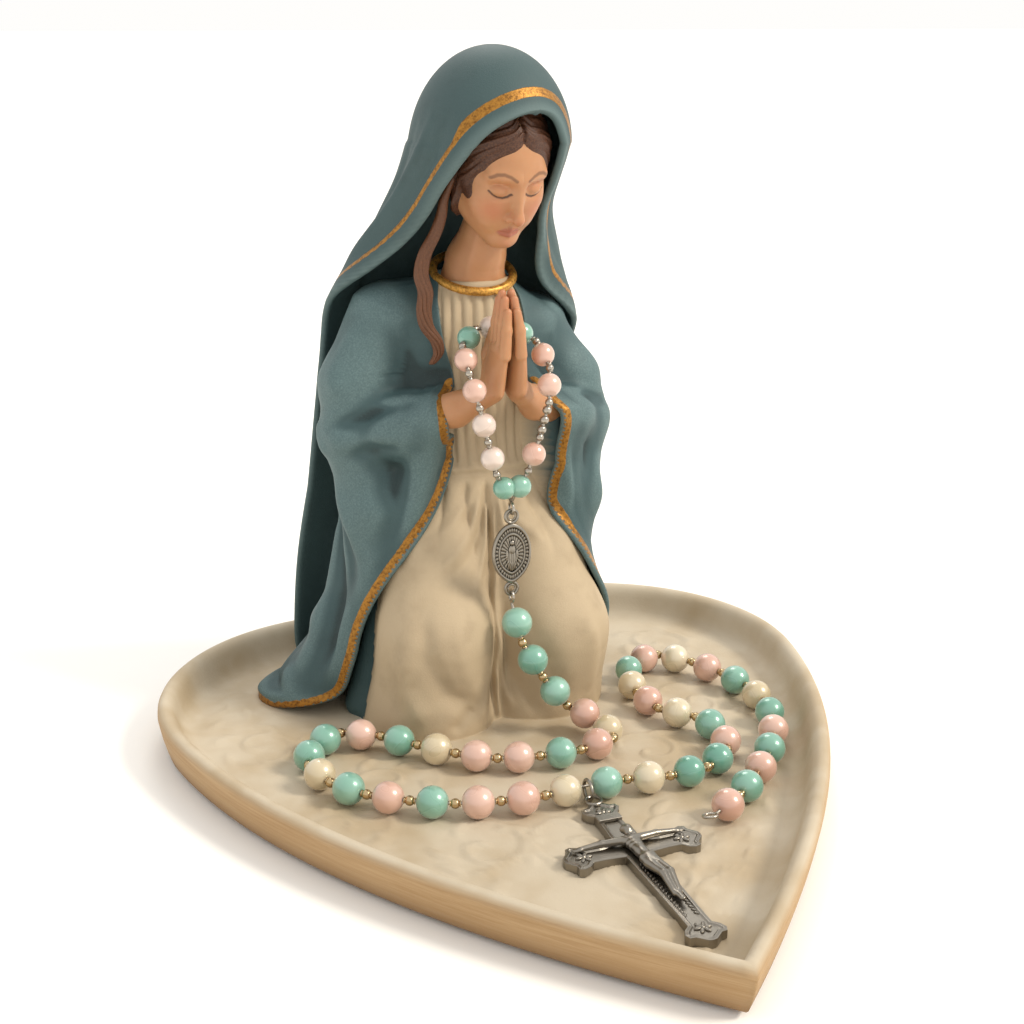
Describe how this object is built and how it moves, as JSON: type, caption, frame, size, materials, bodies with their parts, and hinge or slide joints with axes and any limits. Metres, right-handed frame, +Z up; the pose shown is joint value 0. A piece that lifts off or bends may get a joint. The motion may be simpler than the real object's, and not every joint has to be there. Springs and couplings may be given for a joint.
{
  "type": "madonna statue",
  "caption": "Kneeling praying Madonna figure in a heart-shaped dish, with a pearl rosary hung on the hands, its medal, and a crucifix lying in the dish.",
  "frame": {"origin": "centre of the dish's underside, on the table", "axes": "+Z up; the figure faces -Y, where the tip of the heart is; +X is the figure's left"},
  "size_m": [0.18, 0.204, 0.1756],
  "materials": {
    "dish_glaze": "matt cream paint with a warm tan wash outside",
    "felt": "felt",
    "cream_paint": "matt painted cast",
    "blue_paint": "matt painted cast",
    "skin_paint": "satin painted cast",
    "hair_paint": "satin painted cast",
    "gold_paint": "metallic gold paint",
    "pearl_mint": "pearl",
    "pearl_pink": "pearl",
    "pearl_cream": "pearl",
    "silver_metal": "antiqued silver",
    "gold_metal": "polished"
  },
  "bodies": {
    "statue": {"dish": "dish_glaze", "felt_pads": "felt", "dress": "cream_paint", "mantle": "blue_paint", "right_sleeve": "blue_paint", "left_sleeve": "blue_paint", "veil": "blue_paint", "head": "skin_paint", "hair": "hair_paint", "collar": "gold_paint", "right_hand": "skin_paint", "left_hand": "skin_paint", "loop_wire": "silver_metal", "loop_pearls_pink": "pearl_pink", "loop_pearls_white": "pearl_cream", "loop_pearls_mint": "pearl_mint", "loop_spacers": "silver_metal", "loop_silver_beads": "silver_metal", "wire_eyes": "silver_metal", "strand_wire": "silver_metal", "strand_pearls_mint": "pearl_mint", "strand_pearls_pink": "pearl_pink", "strand_pearls_cream": "pearl_cream", "strand_spacers": "gold_metal", "strand_end_ring": "silver_metal"},
    "medal": {"medal_plate": "silver_metal", "medal_relief": "silver_metal", "medal_rings": "silver_metal"},
    "crucifix": {"crucifix_cross": "silver_metal", "crucifix_corpus": "silver_metal", "crucifix_ring": "silver_metal"}
  },
  "joints": [
    {"name": "medal_twist", "type": "hinge", "parent": "statue", "child": "medal", "pos_m": [-0.0005, 0.028, 0.053], "axis": [0, 0, 1], "range_deg": [-25, 25]},
    {"name": "crucifix_swing", "type": "hinge", "parent": "statue", "child": "crucifix", "pos_m": [0.002, -0.016, 0.008], "axis": [-1, 0, 0], "range_deg": [0, 95]}
  ]
}
